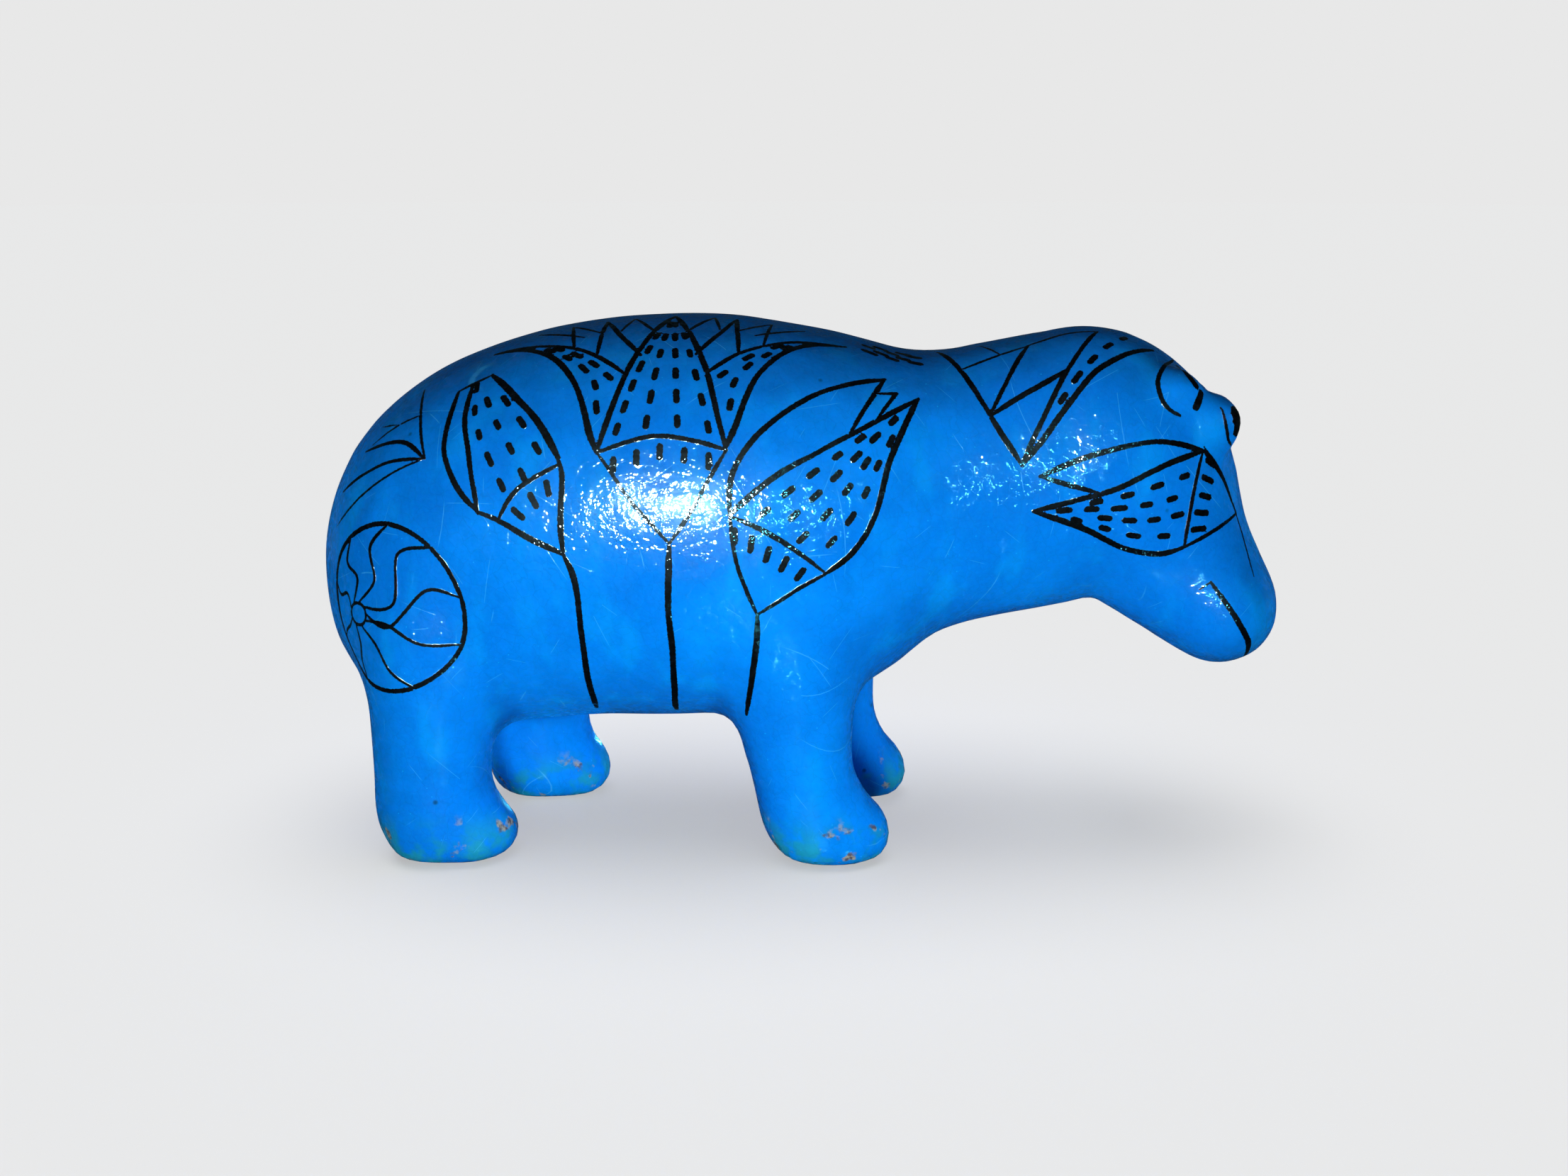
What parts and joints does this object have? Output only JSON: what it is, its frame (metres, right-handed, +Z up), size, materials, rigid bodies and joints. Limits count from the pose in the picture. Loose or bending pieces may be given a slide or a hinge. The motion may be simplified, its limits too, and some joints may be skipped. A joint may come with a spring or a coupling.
{
  "type": "egyptian faience hippopotamus figurine",
  "caption": "Solid glazed faience hippopotamus standing on short legs, a tabletop ornament painted with marsh plants.",
  "frame": {"origin": "on the ground under the middle of the figure's bounding box", "axes": "+X the way the animal faces, +Y its left, +Z up"},
  "size_m": [0.2, 0.075, 0.111],
  "materials": {
    "blue_glaze": "gloss"
  },
  "bodies": {
    "root": {"hippo": "blue_glaze"}
  },
  "joints": []
}
